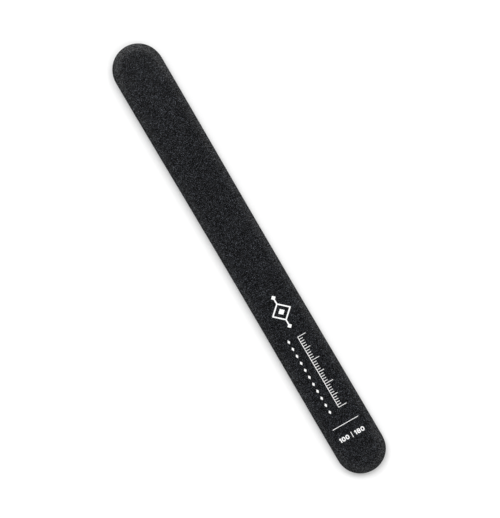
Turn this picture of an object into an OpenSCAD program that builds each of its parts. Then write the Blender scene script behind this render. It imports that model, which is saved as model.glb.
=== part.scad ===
// Double-sided cushioned emery board, lying flat with its coarse face down.
// X runs along the board, towards the printed end. Y runs across it. Z is up.
// The origin is the middle of the coarse face. All sizes are in millimetres.

/* [Outline] */
// Length from tip to tip
board_length = 178; // [120:1:200]
// Width across each round end
end_width = 18.6; // [16:0.1:28]
// How far each long side draws in at the middle of the board
waist = 0.25; // [0:0.05:1]

/* [Layers] */
// Plastic strip that keeps the board straight
core_thickness = 1.0; // [0.6:0.1:2]
// Adhesive film on each face of the strip
core_film_thickness = 0.08; // [0.05:0.01:0.15]
// Foam cushion on each side
foam_thickness = 1.0; // [0.6:0.1:2]
// Adhesive film under each sheet of paper
paper_film_thickness = 0.07; // [0.05:0.01:0.15]
// Backing paper of each abrasive sheet
paper_thickness = 0.18; // [0.1:0.01:0.3]
// Resin that holds the coarse grain
coarse_bond_thickness = 0.10; // [0.06:0.01:0.2]
// Coarse grain standing out of its resin
coarse_grain_height = 0.12; // [0.08:0.01:0.2]
// Resin that holds the fine grain
fine_bond_thickness = 0.05; // [0.03:0.01:0.1]
// Fine grain standing out of its resin
fine_grain_height = 0.07; // [0.04:0.01:0.12]

/* [Print] */
// Film of white ink on the fine face
ink_thickness = 0.03; // [0.02:0.01:0.06]
// From the printed tip to the middle of the grit numbers
numbers_from_tip = 15.7; // [13:0.1:20]
// Height of the grit numbers
digit_height = 1.8; // [1.2:0.1:3]
// Width of a round digit
digit_width = 1.36; // [1:0.02:2]
// Width of a digit's stroke
digit_stroke = 0.42; // [0.3:0.02:0.5]
// From the printed tip to the rule across the board
rule_from_tip = 20.6; // [20:0.1:24]
// Length of the rule across the board
rule_length = 10.8; // [6:0.2:14]
// From the printed tip to the near end of the graduated scale
scale_from_tip = 27; // [26:0.5:30]
// Length of the graduated scale, in whole millimetres
scale_length = 30; // [20:5:30]
// Length of the scale's longest ticks
scale_tick = 3.4; // [2:0.2:4]
// Number of lozenges in the row beside the scale
lozenge_count = 11; // [5:2:13]
// Length of one of those lozenges
lozenge_length = 1.7; // [1:0.1:2]
// From the printed tip to the middle of the ornament
ornament_from_tip = 68; // [66:0.5:76]
// Length of the ornament along the board
ornament_length = 13.7; // [10:0.1:14]
// Width of the ornament across the board
ornament_width = 8; // [6:0.2:10]
// Width of the ornament's lines
ornament_line = 0.55; // [0.4:0.05:0.8]

/* [Hidden] */

$fn = 96;

// Outline
end_radius = end_width / 2;
end_centre = board_length / 2 - end_radius;
side_steps = 16;

// Height of each layer's lower face, from the coarse face up
coarse_bond_z = coarse_grain_height;
coarse_paper_z = coarse_bond_z + coarse_bond_thickness;
coarse_film_z = coarse_paper_z + paper_thickness;
coarse_foam_z = coarse_film_z + paper_film_thickness;
coarse_core_film_z = coarse_foam_z + foam_thickness;
core_z = coarse_core_film_z + core_film_thickness;
fine_core_film_z = core_z + core_thickness;
fine_foam_z = fine_core_film_z + core_film_thickness;
fine_film_z = fine_foam_z + foam_thickness;
fine_paper_z = fine_film_z + paper_film_thickness;
fine_bond_z = fine_paper_z + paper_thickness;
fine_grain_z = fine_bond_z + fine_bond_thickness;
print_z = fine_grain_z + fine_grain_height;

// Print
printed_tip = board_length / 2;
digit_gap = 0.24;
numeral_one_width = 0.62;
numeral_flag = 1.7 * digit_stroke;
divider_gap = 1.25;
divider_height = 2.3;
divider_line = 0.3;
rule_line = 0.26;
scale_line = 0.24;
scale_y = 0.7;
scale_short_share = 0.5;
scale_middle_share = 0.75;
lozenge_y = -2.9;
lozenge_width = 1.0;
ornament_y = 0.4;
ornament_frame_share = 0.54;
ornament_pip_share = 0.34;
ornament_end = 1.9;

// Half the board's width at x, drawn in smoothly between the ends
function half_width(x) = end_radius - waist * (1 + cos(180 * x / end_centre)) / 2;

// Points along one long side, from one end's centre to the other's
function side_points(side) = [
    for (i = [0 : side_steps])
        let (x = side * end_centre * (1 - 2 * i / side_steps))
        [x, side * half_width(x)]
];

// The die-cut outline that every layer shares
module board_outline() {
    for (end = [-1, 1])
        translate([end * end_centre, 0]) circle(r = end_radius);
    polygon(concat(side_points(1), side_points(-1)));
}

// One layer of the stack
module layer(z, thickness) {
    translate([0, 0, z]) linear_extrude(height = thickness) board_outline();
}

// A film of ink, drawn with its middle x_from_tip from the printed tip
module ink(x_from_tip) {
    color("white")
        translate([printed_tip - x_from_tip, 0, print_z])
            linear_extrude(height = ink_thickness) children();
}

// A slot with round ends, upright when it is taller than wide
module slot_shape(width, height) {
    radius = min(width, height) / 2;
    if (width > height) square([width - height, height], center = true);
    if (height > width) square([width, height - width], center = true);
    for (end = [-1, 1])
        translate(end * [width / 2 - radius, height / 2 - radius]) circle(r = radius);
}

module slot_ring(width, height, line) {
    difference() {
        slot_shape(width, height);
        slot_shape(width - 2 * line, height - 2 * line);
    }
}

module zero_numeral() {
    slot_ring(digit_width, digit_height, digit_stroke);
}

module eight_numeral() {
    loop_height = (digit_height + digit_stroke) / 2;
    for (end = [-1, 1])
        translate([0, end * (digit_height - loop_height) / 2])
            slot_ring(digit_width, loop_height, digit_stroke);
}

module one_numeral() {
    stem_x = numeral_one_width / 2 - digit_stroke / 2;
    translate([stem_x, 0]) square([digit_stroke, digit_height], center = true);
    translate([stem_x, digit_height / 2])
        polygon([
            [0, 0],
            [-digit_stroke / 2, 0],
            [stem_x - numeral_one_width, -digit_stroke],
            [stem_x - numeral_one_width, -numeral_flag],
            [0, -digit_stroke]
        ]);
}

// A lozenge, pointed along and across
module lozenge(length, width) {
    polygon([[length / 2, 0], [0, width / 2], [-length / 2, 0], [0, -width / 2]]);
}

// Numerals are drawn upright, read across the board and stand with their heads away from the tip
module grit_number(middle_numeral) {
    one_x = -(digit_width * 2 + digit_gap * 2 + numeral_one_width) / 2 + numeral_one_width / 2;
    middle_x = one_x + numeral_one_width / 2 + digit_gap + digit_width / 2;
    translate([one_x, 0]) one_numeral();
    translate([middle_x, 0]) if (middle_numeral == 8) eight_numeral(); else zero_numeral();
    translate([middle_x + digit_width + digit_gap, 0]) zero_numeral();
}

module coarse_grain() {
    color("#26282b") layer(0, coarse_grain_height);
}

module coarse_bond_coat() {
    color("#1a1b1d") layer(coarse_bond_z, coarse_bond_thickness);
}

module coarse_backing_paper() {
    color("#2b2a28") layer(coarse_paper_z, paper_thickness);
}

module coarse_paper_adhesive() {
    color("#3a3a38") layer(coarse_film_z, paper_film_thickness);
}

module coarse_side_foam() {
    color("#202124") layer(coarse_foam_z, foam_thickness);
}

module coarse_side_core_adhesive() {
    color("#3a3a38") layer(coarse_core_film_z, core_film_thickness);
}

module core_strip() {
    color("#141416") layer(core_z, core_thickness);
}

module fine_side_core_adhesive() {
    color("#3a3a38") layer(fine_core_film_z, core_film_thickness);
}

module fine_side_foam() {
    color("#202124") layer(fine_foam_z, foam_thickness);
}

module fine_paper_adhesive() {
    color("#3a3a38") layer(fine_film_z, paper_film_thickness);
}

module fine_backing_paper() {
    color("#2b2a28") layer(fine_paper_z, paper_thickness);
}

module fine_bond_coat() {
    color("#1f2022") layer(fine_bond_z, fine_bond_thickness);
}

module fine_grain() {
    color("#2a2b2d") layer(fine_grain_z, fine_grain_height);
}

module printed_grit_numbers() {
    number_width = digit_width * 2 + digit_gap * 2 + numeral_one_width;
    ink(numbers_from_tip) rotate(90) {
        translate([-number_width / 2 - divider_gap, 0]) grit_number(0);
        square([divider_line, divider_height], center = true);
        translate([number_width / 2 + divider_gap, 0]) grit_number(8);
    }
}

module printed_rule() {
    ink(rule_from_tip) square([rule_line, rule_length], center = true);
}

module printed_scale() {
    ink(scale_from_tip) {
        translate([-scale_length - scale_line / 2, scale_y])
            square([scale_length + scale_line, scale_line]);
        for (i = [0 : scale_length]) {
            share = i % 10 == 0 ? 1 : i % 5 == 0 ? scale_middle_share : scale_short_share;
            translate([-i - scale_line / 2, scale_y])
                square([scale_line, scale_tick * share]);
        }
    }
}

module printed_lozenges() {
    pitch = scale_length / (lozenge_count - 1);
    ink(scale_from_tip)
        for (i = [0 : lozenge_count - 1])
            translate([-i * pitch, lozenge_y]) lozenge(lozenge_length, lozenge_width);
}

// A lozenge-shaped frame round a pip, with a bar to a small lozenge at each end
module printed_ornament() {
    frame_length = ornament_length * ornament_frame_share;
    frame_diagonal = norm([frame_length, ornament_width]);
    inner_share = 1 - 2 * ornament_line * frame_diagonal / (frame_length * ornament_width);
    end_x = (ornament_length - ornament_end) / 2;
    bar_length = end_x - frame_length / 2 + ornament_line;
    ink(ornament_from_tip) translate([0, ornament_y]) {
        difference() {
            lozenge(frame_length, ornament_width);
            lozenge(frame_length * inner_share, ornament_width * inner_share);
        }
        lozenge(frame_length * ornament_pip_share, ornament_width * ornament_pip_share);
        for (end = [-1, 1]) {
            translate([end * (end_x - bar_length / 2), 0])
                square([bar_length, ornament_line], center = true);
            translate([end * end_x, 0]) lozenge(ornament_end, ornament_end);
        }
    }
}

coarse_grain();
coarse_bond_coat();
coarse_backing_paper();
coarse_paper_adhesive();
coarse_side_foam();
coarse_side_core_adhesive();
core_strip();
fine_side_core_adhesive();
fine_side_foam();
fine_paper_adhesive();
fine_backing_paper();
fine_bond_coat();
fine_grain();
printed_grit_numbers();
printed_rule();
printed_scale();
printed_lozenges();
printed_ornament();
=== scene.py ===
import math

import bmesh
import bpy
import numpy as np
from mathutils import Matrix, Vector
from mathutils.bvhtree import BVHTree


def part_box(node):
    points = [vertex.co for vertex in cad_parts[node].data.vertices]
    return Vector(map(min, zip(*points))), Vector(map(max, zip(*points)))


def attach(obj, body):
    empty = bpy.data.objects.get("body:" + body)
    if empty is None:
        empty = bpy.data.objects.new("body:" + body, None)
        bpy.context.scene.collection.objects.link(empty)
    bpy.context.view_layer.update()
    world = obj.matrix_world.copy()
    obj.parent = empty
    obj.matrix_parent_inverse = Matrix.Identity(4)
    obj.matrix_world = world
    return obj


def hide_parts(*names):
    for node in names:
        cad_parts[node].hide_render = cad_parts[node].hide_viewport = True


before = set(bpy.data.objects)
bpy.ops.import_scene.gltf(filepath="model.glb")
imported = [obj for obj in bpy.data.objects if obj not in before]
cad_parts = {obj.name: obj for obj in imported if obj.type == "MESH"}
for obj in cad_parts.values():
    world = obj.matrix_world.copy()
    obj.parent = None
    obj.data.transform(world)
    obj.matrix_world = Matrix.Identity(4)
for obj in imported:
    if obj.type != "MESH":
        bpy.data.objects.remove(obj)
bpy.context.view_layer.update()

MM = 0.001

# The board's sizes, from the frame
STRIP_LOW, STRIP_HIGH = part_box("core_strip")
END_RADIUS = (STRIP_HIGH[1] - STRIP_LOW[1]) / 2
END_CENTRE = (STRIP_HIGH[0] - STRIP_LOW[0]) / 2 - END_RADIUS
WAIST = 0.25 * MM
COARSE_FOAM_LOW, COARSE_FOAM_HIGH = (corner[2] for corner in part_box("coarse_side_foam"))
FINE_FOAM_LOW, FINE_FOAM_HIGH = (corner[2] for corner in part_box("fine_side_foam"))

# The die pressed the foam in at the rim: a wide soft roll and a narrow nip, deeper at the ends.
# The rings carry that shape in a level face, at their distances in from its edge
ROLL_WIDTH = 3.2 * MM
ROLL_PRESS = 0.28 * MM
NIP_WIDTH = 0.8 * MM
NIP_PRESS = 0.1 * MM
END_PRESS_FACTOR = 1.5
RIM_RINGS_MM = [0.0, 0.13, 0.28, 0.5, 0.8, 1.2, 1.7, 2.4, 3.2]
HIDDEN_RIM_RINGS_MM = [0.0, 0.8, 1.7, 3.2]

# Layers: the spacing of the points along an outline, which is close where the foam is torn
PLAIN_SPACING = 0.5 * MM
FOAM_SPACING = 0.14 * MM
FOAM_WALL_RINGS = 6
FOAM_TEAR = 0.04 * MM
FOAM_RECESS = 0.1 * MM

# A face is level when its normal's z is past this
LEVEL = 0.9

# Crystals: pyramids with their corners moved about, and the smallest's share of the largest's size
CRYSTAL_SHAPES = 6
CRYSTAL_FOOT = 0.8
CRYSTAL_HEIGHT = 1.3
CRYSTAL_CHANGE = 0.3
SMALLEST_CRYSTAL = 0.5

# Fine face: a rough skin, with crystals standing in it
FINE_CELL = 0.2 * MM
FINE_RELIEF = 0.025 * MM
FINE_SKIN_DEPTH = 0.045 * MM
FINE_PITCH = 0.21 * MM
FINE_RADIUS = 0.11 * MM
FINE_SINK = 0.025 * MM
FINE_SIDES = 4

# Coarse face: larger crystals, side by side
COARSE_PITCH = 0.25 * MM
COARSE_RADIUS = 0.23 * MM
COARSE_SINK = 0.05 * MM
COARSE_SIDES = 5

# The wear is 0.5 at the rim of a side and 1 at that of an end. Over all of an end, this much more
# is added at the edge and less towards the middle
TIP_WEAR = 0.2

# Each face's crystals are shared out over sections of the board
SECTIONS = 3

# Ink, printed over the fine grain
INK_CELL = 0.05 * MM
INK_ROUGHNESS = 0.015 * MM
INK_DEPTH = 0.05 * MM
PINHOLE_SHARE = 0.012

# Patterns in the fine face. The ink over it follows its grains
GRAIN = 0.14 * MM
CLUSTER = 0.27 * MM
PATCH = 6 * MM

# Tints: fine grit and resin are a little blue, coarse grit less so, and the rest is neutral
NEUTRAL = (1.0, 1.0, 1.0)
SLATE = (1.0, 1.1, 1.32)
GRAPHITE = (1.0, 1.03, 1.13)

# Stage: the floor's size in metres, how far it lies under the board, and the sky's light
FLOOR_SIZE = 8
FLOOR_GAP = 0.02 * MM
SKY_LIGHT = 0.5

# Camera, as fitted to the photograph's board. Its lens is in pixels, and its sensor's size in mm
# spans the picture's height
CAMERA_DISTANCE = 437 * MM
CAMERA_TILT = math.radians(6.0)
CAMERA_HEADING = math.radians(59.76)
PICTURE_CENTRE = (-0.49 * MM, 0.90 * MM)
LENS_PIXELS = 1200
PICTURE_HEIGHT = 518
SENSOR = 36


# Shape of the board

def half_width(x):
    """Half the board's width at each x, drawn in smoothly between the ends."""
    inside = np.abs(x) < END_CENTRE
    return END_RADIUS - np.where(inside, WAIST * (1 + np.cos(np.pi * x / END_CENTRE)) / 2, 0)


def from_edge(x, y):
    """How far each point x, y lies in from the board's edge."""
    beyond_end = np.maximum(np.abs(x) - END_CENTRE, 0)
    return half_width(x) - np.hypot(beyond_end, y)


def rim_share(distance, width):
    """1 at the board's edge, falling to 0 at a width in from it."""
    return np.clip(1 - distance / width, 0, 1)


def end_share(x):
    """1 in the board's round ends, falling to 0 along its sides."""
    return np.clip((np.abs(x) - END_CENTRE) / END_RADIUS + 1, 0, 1)


def press(places):
    """Moves places, one row each, as the die moved them: the foam gave way, and the strip didn't."""
    x, y, z = places.T
    edge = from_edge(x, y)
    depth = ROLL_PRESS * rim_share(edge, ROLL_WIDTH) ** 2 + NIP_PRESS * rim_share(edge, NIP_WIDTH) ** 2
    depth *= 1 + (END_PRESS_FACTOR - 1) * end_share(x)
    heights = [COARSE_FOAM_LOW, COARSE_FOAM_HIGH, FINE_FOAM_LOW, FINE_FOAM_HIGH]
    places[:, 2] += depth * np.interp(z, heights, [1, 0, 0, -1])


# Helpers for work in edit mode

def name_primitive(name):
    """Names the primitive that was just added, and bakes its place and turn into its mesh."""
    piece = bpy.context.object
    piece.name = name
    piece.data.name = name
    bpy.ops.object.transform_apply(location=True, rotation=True, scale=True)
    return piece


def choose(piece, kind, test):
    """In edit mode, selects the vertices, edges or faces that pass the test."""
    bpy.ops.mesh.select_mode(type=kind)
    bpy.ops.mesh.select_all(action="DESELECT")
    mesh = bmesh.from_edit_mesh(piece.data)
    for part in {"VERT": mesh.verts, "EDGE": mesh.edges, "FACE": mesh.faces}[kind]:
        if test(part):
            part.select_set(True)
    mesh.select_flush_mode()
    bmesh.update_edit_mesh(piece.data)


def face_outwards():
    """In edit mode, turns every face of the piece outwards."""
    bpy.ops.mesh.select_all(action="SELECT")
    bpy.ops.mesh.normals_make_consistent(inside=False)


def vertex_places(piece):
    """The piece's vertices as an array, one row each."""
    places = np.empty(len(piece.data.vertices) * 3)
    piece.data.vertices.foreach_get("co", places)
    return places.reshape(-1, 3)


def set_vertex_places(piece, places):
    piece.data.vertices.foreach_set("co", places.ravel())
    piece.data.update()


def set_vertex_values(piece, name, values):
    """Stores one number for each vertex, which a material reads by its name."""
    attribute = piece.data.attributes.new(name, "FLOAT", "POINT")
    attribute.data.foreach_set("value", np.asarray(values, dtype=np.float32))


def finish_piece(piece, slot, material, *nodes, smooth_angle=None):
    """Closes edit mode, presses the piece's rim, shades it, and ties it to the frame."""
    bpy.context.view_layer.objects.active = piece
    if piece.mode == "EDIT":
        bpy.ops.object.mode_set(mode="OBJECT")
    places = vertex_places(piece)
    press(places)
    set_vertex_places(piece, places)
    bpy.ops.object.select_all(action="DESELECT")
    piece.select_set(True)
    if smooth_angle is not None:
        bpy.ops.object.shade_smooth_by_angle(angle=math.radians(smooth_angle))
    piece.data.materials.clear()
    piece.data.materials.append(material)
    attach(piece, "root")
    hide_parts(*nodes)
    piece.select_set(False)


# Layers of the stack

def add_outline(name, z, spacing):
    """The board's outline, filled: a circle whose halves are moved apart, then drawn in at the waist.
    The circle's short edges touch END_RADIUS at their middles, so the board has its full length."""
    arc_steps = round(math.pi * END_RADIUS / spacing)
    half_step = math.pi / 2 / arc_steps
    bpy.ops.object.select_all(action="DESELECT")
    bpy.ops.mesh.primitive_circle_add(
        vertices=2 * arc_steps, radius=END_RADIUS / math.cos(half_step), fill_type="NOTHING",
        location=(0, 0, z), rotation=(0, 0, half_step))
    piece = name_primitive(name)
    bpy.ops.object.mode_set(mode="EDIT")
    for side in (1, -1):
        choose(piece, "VERT", lambda v: 0 < v.co.x * side < END_CENTRE / 2)
        bpy.ops.transform.translate(value=(side * END_CENTRE, 0, 0))
    side_cuts = round(math.sqrt(2 * END_CENTRE / spacing)) - 1
    for _ in range(2):
        choose(piece, "EDGE", lambda e: all(abs(v.co.x) <= END_CENTRE + spacing for v in e.verts)
               and abs(e.verts[0].co.y - e.verts[1].co.y) < spacing / 100)
        bpy.ops.mesh.subdivide(number_cuts=side_cuts)
    bpy.ops.object.mode_set(mode="OBJECT")
    places = vertex_places(piece)
    places[:, 1] *= half_width(places[:, 0]) / END_RADIUS
    set_vertex_places(piece, places)
    bpy.ops.object.mode_set(mode="EDIT")
    bpy.ops.mesh.select_all(action="SELECT")
    bpy.ops.mesh.edge_face_add()
    return piece


def ring_cap(piece, facing, rings):
    """Insets rings into the cap that faces up (1) or down (-1), so that its rim can be pressed in."""
    choose(piece, "FACE", lambda f: f.normal.z * facing > LEVEL and len(f.verts) > 4)
    for outer, inner in zip(rings, rings[1:]):
        bpy.ops.mesh.inset(thickness=(inner - outer) * MM, depth=0)


def add_layer(node, ringed_caps, spacing=PLAIN_SPACING, wall_rings=1):
    """One layer of the stack, in the place of a node, with rings in the caps that the die pressed."""
    low, high = (corner[2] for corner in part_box(node))
    piece = add_outline(node + "_layer", low, spacing)
    for _ in range(wall_rings):
        bpy.ops.mesh.extrude_region_move(
            TRANSFORM_OT_translate={"value": (0, 0, (high - low) / wall_rings)})
    face_outwards()
    for facing in ringed_caps:
        ring_cap(piece, facing, RIM_RINGS_MM)
    return piece


def tear_wall(piece, recess, tear, seed):
    """Draws the wall in between its rims and roughens it, as foam is left when a die has cut it."""
    choose(piece, "VERT", lambda v: all(abs(f.normal.z) < LEVEL for f in v.link_faces))
    bpy.ops.transform.shrink_fatten(value=-recess)
    bpy.ops.transform.vertex_random(offset=tear, uniform=0.5, normal=0.5, seed=seed)


# Crystals

def model_crystals(sides, seed):
    """A few crystal shapes, in triangles, each just inside a ball of radius 1."""
    shapes = []
    for i in range(CRYSTAL_SHAPES):
        bpy.ops.object.select_all(action="DESELECT")
        bpy.ops.mesh.primitive_cone_add(
            vertices=sides, radius1=CRYSTAL_FOOT, radius2=0, depth=CRYSTAL_HEIGHT)
        crystal = name_primitive("crystal")
        bpy.ops.object.mode_set(mode="EDIT")
        bpy.ops.mesh.select_all(action="SELECT")
        bpy.ops.transform.vertex_random(
            offset=CRYSTAL_CHANGE, uniform=1.0, normal=0.0, seed=seed + i)
        bpy.ops.mesh.quads_convert_to_tris()
        bpy.ops.object.mode_set(mode="OBJECT")
        corners = vertex_places(crystal)
        corners -= corners.mean(axis=0)
        corners /= np.linalg.norm(corners, axis=1).max()
        faces = np.array([list(p.vertices) for p in crystal.data.polygons])
        shapes.append((corners, faces))
        bpy.data.objects.remove(crystal)
    return shapes


def random_turns(draw, count):
    """Random rotation matrices, from random unit quaternions."""
    q = draw.normal(size=(count, 4))
    w, x, y, z = (q / np.linalg.norm(q, axis=1, keepdims=True)).T
    return np.stack([
        1 - 2 * (y * y + z * z), 2 * (x * y - z * w), 2 * (x * z + y * w),
        2 * (x * y + z * w), 1 - 2 * (x * x + z * z), 2 * (y * z - x * w),
        2 * (x * z - y * w), 2 * (y * z + x * w), 1 - 2 * (x * x + y * y),
    ], axis=1).reshape(-1, 3, 3)


def crystal_places(pitch, margin, seed):
    """Places all over a face, a pitch apart and jittered, but for a margin along the edge."""
    draw = np.random.default_rng(seed)
    xs = np.arange(-END_CENTRE - END_RADIUS, END_CENTRE + END_RADIUS, pitch)
    ys = np.arange(-END_RADIUS, END_RADIUS, pitch)
    x, y = (axis.ravel() + draw.uniform(-0.5, 0.5, axis.size) * pitch for axis in np.meshgrid(xs, ys))
    keep = from_edge(x, y) > margin
    return x[keep], y[keep]


def scatter_crystals(name, shapes, tips, radii, facing, seed):
    """One mesh of many crystals, each a turned copy of one of the shapes, with its own shade from
    0 to 1. Its highest corner is at its tip's height, or its lowest where the face is below (-1)."""
    draw = np.random.default_rng(seed)
    corners = np.array([shape[0] for shape in shapes])
    faces = np.array([shape[1] for shape in shapes])
    which = draw.integers(len(shapes), size=len(tips))
    places = np.einsum("nij,nkj->nki", random_turns(draw, len(tips)), corners[which])
    places *= radii[:, None, None]
    places[:, :, 2] -= facing * (facing * places[:, :, 2]).max(axis=1, keepdims=True)
    places += tips[:, None, :]
    per_crystal = corners.shape[1]
    loops = (faces[which] + np.arange(len(tips))[:, None, None] * per_crystal).reshape(-1)
    mesh = bpy.data.meshes.new(name)
    mesh.vertices.add(len(tips) * per_crystal)
    mesh.vertices.foreach_set("co", places.reshape(-1))
    mesh.loops.add(len(loops))
    mesh.loops.foreach_set("vertex_index", loops)
    mesh.polygons.add(len(loops) // 3)
    mesh.polygons.foreach_set("loop_start", np.arange(0, len(loops), 3))
    mesh.update(calc_edges=True)
    mesh.validate()
    piece = bpy.data.objects.new(name, mesh)
    bpy.context.collection.objects.link(piece)
    set_vertex_values(piece, "shade", np.repeat(draw.random(len(tips)), per_crystal))
    return piece


def cover_face(node, facing, pitch, radius, sink, shapes, material, seed):
    """Crystals all over the face above (1) or below (-1), in a piece for each section of the board's
    length. Their tips are at the face or sunk a little."""
    x, y = crystal_places(pitch, radius, seed)
    draw = np.random.default_rng(seed + 1)
    radii = radius * draw.uniform(SMALLEST_CRYSTAL, 1.0, len(x))
    face_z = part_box(node)[1 if facing > 0 else 0][2]
    tips = np.stack([x, y, face_z - facing * draw.uniform(0, sink, len(x))], axis=1)
    along = (x / (END_CENTRE + END_RADIUS) + 1) / 2
    section = np.floor(along * SECTIONS)
    for i in range(SECTIONS):
        here = section == i
        crystals = scatter_crystals(
            f"{node}_crystals_{i + 1}", shapes, tips[here], radii[here], facing, seed + 2 + i)
        finish_piece(crystals, node, material, node)


# Fine face

def add_grain_skin(name, node, cell, depth, relief, seed):
    """The fine face: a grid bent into the board's outline and roughened, with walls and an
    underside. It stores the wear at each vertex."""
    low, high = (corner[2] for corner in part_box(node))
    end_cells = round(END_RADIUS / cell)
    straight_cells = round(2 * END_CENTRE / cell)
    columns = straight_cells + 2 * end_cells
    bpy.ops.object.select_all(action="DESELECT")
    bpy.ops.mesh.primitive_grid_add(x_subdivisions=columns, y_subdivisions=2 * end_cells, size=2)
    piece = name_primitive(name)
    grid = vertex_places(piece)
    along, across = grid[:, 0] * columns / 2, grid[:, 1]
    into_end = np.clip((np.abs(along) - straight_cells / 2) / end_cells, 0, 1)
    straight = np.clip(along, -straight_cells / 2, straight_cells / 2) * 2 * END_CENTRE / straight_cells
    x = straight + np.sign(along) * END_RADIUS * into_end * np.sqrt(1 - across ** 2 / 2)
    y = half_width(straight) * across * np.sqrt(1 - into_end ** 2 / 2)
    set_vertex_places(piece, np.stack([x, y, np.full_like(x, high - depth)], axis=1))
    edge, end = from_edge(x, y), end_share(x)
    rubbed_rim = rim_share(edge, ROLL_WIDTH) * (1 + end) / 2
    rubbed_tip = rim_share(edge, END_RADIUS) * end
    set_vertex_values(piece, "wear", rubbed_rim + TIP_WEAR * rubbed_tip)
    bpy.ops.object.mode_set(mode="EDIT")
    choose(piece, "VERT", lambda v: not v.is_boundary)
    bpy.ops.transform.vertex_random(offset=relief, uniform=0.0, normal=1.0, seed=seed)
    choose(piece, "EDGE", lambda e: e.is_boundary)
    bpy.ops.mesh.extrude_edges_move(TRANSFORM_OT_translate={"value": (0, 0, low - high + depth)})
    bpy.ops.mesh.edge_face_add()
    face_outwards()
    ring_cap(piece, -1, HIDDEN_RIM_RINGS_MM)
    return piece


# Print

def print_ink(node, seed):
    """The ink of a printed node: a grid as fine as the grain, kept where the node's shape is,
    with a pinhole here and there, sunk into the grain."""
    low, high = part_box(node)
    width, depth = high[0] - low[0], high[1] - low[1]
    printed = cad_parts[node].data
    stencil = BVHTree.FromPolygons(
        [v.co for v in printed.vertices], [list(p.vertices) for p in printed.polygons])
    bpy.ops.object.select_all(action="DESELECT")
    bpy.ops.mesh.primitive_grid_add(
        x_subdivisions=round(width / INK_CELL), y_subdivisions=round(depth / INK_CELL), size=1,
        location=(low[0] + width / 2, low[1] + depth / 2, high[2] - INK_ROUGHNESS))
    bpy.context.object.scale = (width, depth, 1)
    piece = name_primitive(node + "_ink")
    draw = np.random.default_rng(seed)
    well_above = Vector((0, 0, MM))
    down = Vector((0, 0, -1))

    def is_bare(face):
        missed = stencil.ray_cast(face.calc_center_median() + well_above, down)[0] is None
        return draw.random() < PINHOLE_SHARE or missed

    bpy.ops.object.mode_set(mode="EDIT")
    choose(piece, "FACE", is_bare)
    bpy.ops.mesh.delete(type="FACE")
    choose(piece, "VERT", lambda v: v.is_boundary)
    bpy.ops.mesh.vertices_smooth(factor=0.5, repeat=3)
    bpy.ops.mesh.select_all(action="SELECT")
    bpy.ops.transform.vertex_random(offset=INK_ROUGHNESS, uniform=1.0, normal=0.0, seed=seed)
    bpy.ops.mesh.extrude_region_move(TRANSFORM_OT_translate={"value": (0, 0, -INK_DEPTH)})
    face_outwards()
    return piece


# Materials

class Nodes:
    """Adds shader nodes to one material, and links what it is given."""

    def __init__(self, name):
        self.material = bpy.data.materials.new(name)
        self.material.use_nodes = True
        self.tree = self.material.node_tree
        self.shader = self.tree.nodes["Principled BSDF"]
        self.coords = self.tree.nodes.new("ShaderNodeTexCoord").outputs["Object"]

    def put(self, node, values):
        for key, value in values.items():
            socket = node.inputs[key]
            if isinstance(value, bpy.types.NodeSocket):
                self.tree.links.new(value, socket)
            else:
                socket.default_value = value

    def add(self, kind, inputs, **settings):
        node = self.tree.nodes.new(kind)
        for key, value in settings.items():
            setattr(node, key, value)
        self.put(node, inputs)
        return node

    def noise(self, size, detail=2.0, roughness=0.5):
        """Cloudy noise whose lumps are about size across, from 0 to 1."""
        return self.add("ShaderNodeTexNoise", {
            "Vector": self.coords, "Scale": 1 / size, "Detail": detail, "Roughness": roughness,
        }).outputs["Fac"]

    def cells(self, size, output="Distance"):
        """Cells about size across: the distance to each one's middle, or a random colour each."""
        return self.add("ShaderNodeTexVoronoi", {
            "Vector": self.coords, "Scale": 1 / size}).outputs[output]

    def vertex_value(self, name):
        """A number stored on the piece's vertices."""
        return self.add("ShaderNodeAttribute", {}, attribute_name=name).outputs["Fac"]

    def span(self, value, low, high, to_low, to_high):
        """A value's range stretched to another."""
        return self.add("ShaderNodeMapRange", {
            "Value": value, "From Min": low, "From Max": high, "To Min": to_low, "To Max": to_high,
        }).outputs["Result"]

    def mix(self, factor, first, second):
        """The first colour where the factor is 0, and the second where it is 1."""
        node = self.add("ShaderNodeMix", {"Factor": factor}, data_type="RGBA")
        self.put(node, {6: first, 7: second})
        return node.outputs[2]

    def maths(self, operation, first, second):
        return self.add("ShaderNodeMath", {0: first, 1: second}, operation=operation).outputs[0]

    def bump(self, height, distance):
        """A surface raised by the distance where the height is 1."""
        return self.add("ShaderNodeBump", {
            "Height": height, "Distance": distance, "Strength": 1.0}).outputs["Normal"]

    def finish(self, **inputs):
        """Fills in the shader's sockets, named with _ for each space, and gives the material."""
        self.put(self.shader, {key.replace("_", " "): value for key, value in inputs.items()})
        return self.material


def shade(level, tint=NEUTRAL):
    """A colour as pale as the level, from 0 to 1, in a tint."""
    return tuple(level * part for part in tint) + (1,)


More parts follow.
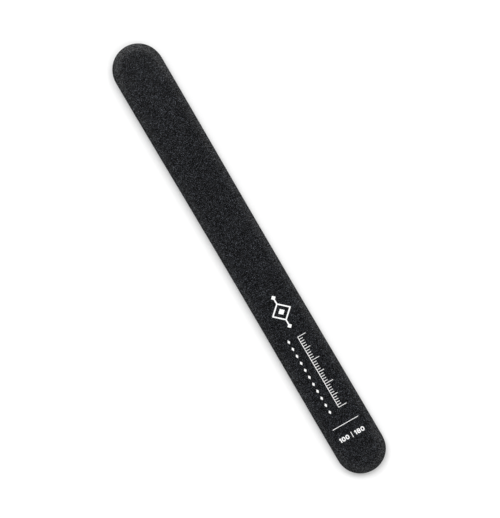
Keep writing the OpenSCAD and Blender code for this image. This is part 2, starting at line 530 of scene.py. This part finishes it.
def fine_grit():
    """Small black grains in black resin, brighter in some clusters and patches than in others. Most
    grains are dark and a few are pale. The worn rim is more even, and it shines."""
    n = Nodes("fine_black_grit")
    grain = n.cells(GRAIN, "Color")
    cluster = n.span(n.maths("POWER", n.cells(CLUSTER, "Color"), 2.0), 0, 1, 0.1, 2.8)
    patch = n.span(n.noise(PATCH), 0.35, 0.65, 0.85, 1.15)
    tone = n.maths("MULTIPLY", n.maths("POWER", grain, 8.0), n.maths("MULTIPLY", cluster, patch))
    fresh = n.mix(tone, shade(0.0005, SLATE), shade(0.165, SLATE))
    wear = n.vertex_value("wear")
    rubbed = n.maths("MULTIPLY", wear, n.span(grain, 0, 1, 0.0, 0.62))
    shine = n.span(wear, 0, 0.5, 0.09, 0.3)
    return n.finish(
        Base_Color=n.mix(rubbed, fresh, shade(0.015)),
        Roughness=n.span(grain, 0, 1, 0.3, 0.5),
        Specular_IOR_Level=n.maths("MULTIPLY", shine, cluster),
        Normal=n.bump(n.cells(GRAIN), 0.035 * MM))


def crystal_grit(name, tint, darkest, palest_shade_and_painted_glint, rarity, gloss):
    """Black carbide crystals, each with its own shade and roughness. The pale ones are partly paler
    grains and partly painted glints: their pale colour stands in for light glinting off facets. The
    rarer they are, the more the face glitters."""
    n = Nodes(name)
    own = n.vertex_value("shade")
    # The pale end of this mix is partly painted glint, not only the crystals' own colour.
    colour = n.mix(n.maths("POWER", own, rarity), shade(darkest, tint), shade(palest_shade_and_painted_glint, tint))
    return n.finish(
        Base_Color=colour,
        Roughness=n.span(own, 0, 1, 0.15, 0.45),
        Specular_IOR_Level=gloss,
        Normal=n.bump(n.noise(0.05 * MM), 0.004 * MM))


def bond_resin():
    """Cured black resin, satin and a little lumpy."""
    n = Nodes("black_bond_resin")
    colour = n.mix(n.noise(0.3 * MM, detail=4), shade(0.001), shade(0.005, SLATE))
    return n.finish(
        Base_Color=colour,
        Roughness=n.span(n.noise(0.5 * MM), 0.3, 0.7, 0.35, 0.6),
        Specular_IOR_Level=0.08,
        Normal=n.bump(n.cells(0.2 * MM), 0.05 * MM))


def foam():
    """Closed-cell foam cut through: round open cells in a matt black ground, with painted shade
    darkening each cell towards its hollow middle.
    """
    n = Nodes("black_foam")
    cell = n.cells(0.2 * MM)
    # Painted shade: each cell is darker towards its middle, where the bump makes its hollow deepest.
    colour = n.mix(n.span(cell, 0.2, 0.5, 0, 1), shade(0.003), shade(0.022))
    return n.finish(
        Base_Color=colour,
        Roughness=0.9,
        Specular_IOR_Level=0.15,
        Normal=n.bump(cell, 0.06 * MM))


def paper():
    """The cut edge of black paper, fibrous and matt."""
    n = Nodes("black_backing_paper")
    fibre = n.noise(0.08 * MM, detail=4, roughness=0.7)
    colour = n.mix(fibre, shade(0.015), shade(0.07))
    return n.finish(
        Base_Color=colour,
        Roughness=0.85,
        Specular_IOR_Level=0.2,
        Normal=n.bump(fibre, 0.03 * MM))


def adhesive():
    """The cut edge of an adhesive film, a little pulled."""
    n = Nodes("adhesive_film")
    pull = n.noise(0.4 * MM, detail=3)
    return n.finish(
        Base_Color=n.mix(pull, shade(0.015), shade(0.05)),
        Roughness=n.span(pull, 0.3, 0.7, 0.3, 0.6),
        Specular_IOR_Level=0.35,
        Normal=n.bump(pull, 0.02 * MM))


def plastic():
    """The cut edge of a black plastic strip, marked by the die's shear."""
    n = Nodes("black_polystyrene")
    shear = n.noise(0.25 * MM, detail=3)
    return n.finish(
        Base_Color=n.mix(shear, shade(0.006), shade(0.016)),
        Roughness=n.span(shear, 0.3, 0.7, 0.4, 0.65),
        Specular_IOR_Level=0.25,
        Normal=n.bump(shear, 0.05 * MM))


def ink():
    """White ink over grain: nearly even, and thin over a grain here and there."""
    n = Nodes("white_screen_ink")
    thin = n.span(n.cells(GRAIN, "Color"), 0.0, 0.15, 1, 0)
    return n.finish(
        Base_Color=n.mix(n.maths("MULTIPLY", thin, 0.3), shade(0.86), shade(0.3)),
        Roughness=0.6,
        Specular_IOR_Level=0.3,
        Normal=n.bump(n.cells(GRAIN), 0.02 * MM))


def pale_floor():
    """A plain matt floor, nearly white."""
    n = Nodes("pale_floor")
    return n.finish(Base_Color=shade(0.88), Roughness=0.95, Specular_IOR_Level=0.0)


# Build

def build_layers():
    """Every layer but the grains and the print. The two foams have torn walls."""
    black_paper = paper()
    film = adhesive()
    sponge = foam()
    resin = bond_resin()
    strip = plastic()
    for node, ringed_caps, slot, material in (
        ("coarse_bond_coat", (1, -1), "bond_resin", resin),
        ("coarse_backing_paper", (1, -1), "backing_paper", black_paper),
        ("coarse_paper_adhesive", (1, -1), "adhesive_film", film),
        ("coarse_side_core_adhesive", (), "adhesive_film", film),
        ("core_strip", (), "core_plastic", strip),
        ("fine_side_core_adhesive", (), "adhesive_film", film),
        ("fine_paper_adhesive", (1, -1), "adhesive_film", film),
        ("fine_backing_paper", (1, -1), "backing_paper", black_paper),
        ("fine_bond_coat", (1, -1), "bond_resin", resin),
    ):
        finish_piece(add_layer(node, ringed_caps), slot, material, node, smooth_angle=30)
    for seed, (node, ringed_cap) in enumerate((("coarse_side_foam", -1), ("fine_side_foam", 1))):
        layer = add_layer(node, [ringed_cap], FOAM_SPACING, FOAM_WALL_RINGS)
        tear_wall(layer, FOAM_RECESS, FOAM_TEAR, seed)
        finish_piece(layer, "foam", sponge, node, smooth_angle=60)


def build_fine_face():
    """The face above: a skin of small grains, and crystals standing in it."""
    skin = add_grain_skin(
        "fine_grain_skin", "fine_grain", FINE_CELL, FINE_SKIN_DEPTH, FINE_RELIEF, seed=5)
    finish_piece(skin, "fine_grain", fine_grit(), "fine_grain", smooth_angle=80)
    # The pale fine crystals are partly painted glints.
    grit = crystal_grit(
        "fine_black_crystals", SLATE, darkest=0.001, palest_shade_and_painted_glint=0.3, rarity=8.0, gloss=0.4)
    cover_face(
        "fine_grain", 1, FINE_PITCH, FINE_RADIUS, FINE_SINK, model_crystals(FINE_SIDES, seed=60),
        grit, seed=7)


def build_coarse_face():
    """The face below: large crystals, side by side."""
    # Painted glints: the white crystals, with almost no gloss, stand in for light off black facets.
    grit = crystal_grit(
        "coarse_black_crystals", GRAPHITE, darkest=0.0003, palest_shade_and_painted_glint=1.0, rarity=12.0, gloss=0.05)
    cover_face(
        "coarse_grain", -1, COARSE_PITCH, COARSE_RADIUS, COARSE_SINK,
        model_crystals(COARSE_SIDES, seed=20), grit, seed=30)


def build_print():
    """The ink of every printed node."""
    white = ink()
    nodes = [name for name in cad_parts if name.startswith("printed_")]
    for seed, node in enumerate(sorted(nodes)):
        finish_piece(print_ink(node, seed), "white_ink", white, node)


def build_stage():
    """A pale floor under an even sky, which is white where the camera sees it."""
    bpy.ops.object.select_all(action="DESELECT")
    bpy.ops.mesh.primitive_plane_add(size=FLOOR_SIZE, location=(0, 0, -FLOOR_GAP))
    floor = name_primitive("floor")
    floor.data.materials.append(pale_floor())
    world = bpy.data.worlds.new("studio")
    world.use_nodes = True
    nodes, links = world.node_tree.nodes, world.node_tree.links
    sky = nodes["Background"]
    sky.inputs["Color"].default_value = (1, 1, 1, 1)
    ray = nodes.new("ShaderNodeLightPath")
    strength = nodes.new("ShaderNodeMapRange")
    strength.inputs["To Min"].default_value = SKY_LIGHT
    strength.inputs["To Max"].default_value = 1.0
    links.new(ray.outputs["Is Camera Ray"], strength.inputs["Value"])
    links.new(strength.outputs["Result"], sky.inputs["Strength"])
    bpy.context.scene.world = world


def add_lamp(name, bearing, elevation, spread, energy):
    """A soft lamp, far away, as wide as its spread. Its bearing is from the picture's right,
    anticlockwise, and its elevation is above the floor, both in degrees."""
    data = bpy.data.lights.new(name, "SUN")
    data.angle = math.radians(spread)
    data.energy = energy
    lamp = bpy.data.objects.new(name, data)
    bpy.context.collection.objects.link(lamp)
    towards = CAMERA_HEADING + math.radians(bearing)
    lamp.rotation_euler = (math.radians(90 - elevation), 0, towards + math.pi / 2)


def build_lights():
    """Lamps whose shadow falls as it does in the photograph."""
    add_lamp("key", bearing=118, elevation=51, spread=36, energy=1.9)
    add_lamp("side", bearing=55, elevation=50, spread=26, energy=0.75)
    add_lamp("front", bearing=-30, elevation=58, spread=24, energy=0.34)


def build_camera():
    """A camera over the board, as it stood over the photograph's."""
    data = bpy.data.cameras.new("camera")
    data.sensor_width = SENSOR
    data.lens = SENSOR * LENS_PIXELS / PICTURE_HEIGHT
    camera = bpy.data.objects.new("camera", data)
    bpy.context.collection.objects.link(camera)
    away = CAMERA_DISTANCE * math.sin(CAMERA_TILT)
    cos_heading, sin_heading = math.cos(CAMERA_HEADING), math.sin(CAMERA_HEADING)
    middle_x = PICTURE_CENTRE[0] * cos_heading - PICTURE_CENTRE[1] * sin_heading
    middle_y = PICTURE_CENTRE[0] * sin_heading + PICTURE_CENTRE[1] * cos_heading
    camera.location = (
        middle_x - away * sin_heading,
        middle_y + away * cos_heading,
        CAMERA_DISTANCE * math.cos(CAMERA_TILT))
    camera.rotation_euler = (-CAMERA_TILT, 0, CAMERA_HEADING)
    bpy.context.scene.camera = camera


build_camera()
build_lights()
build_stage()
build_layers()
build_fine_face()
build_coarse_face()
build_print()
bpy.context.scene.view_settings.view_transform = "Standard"
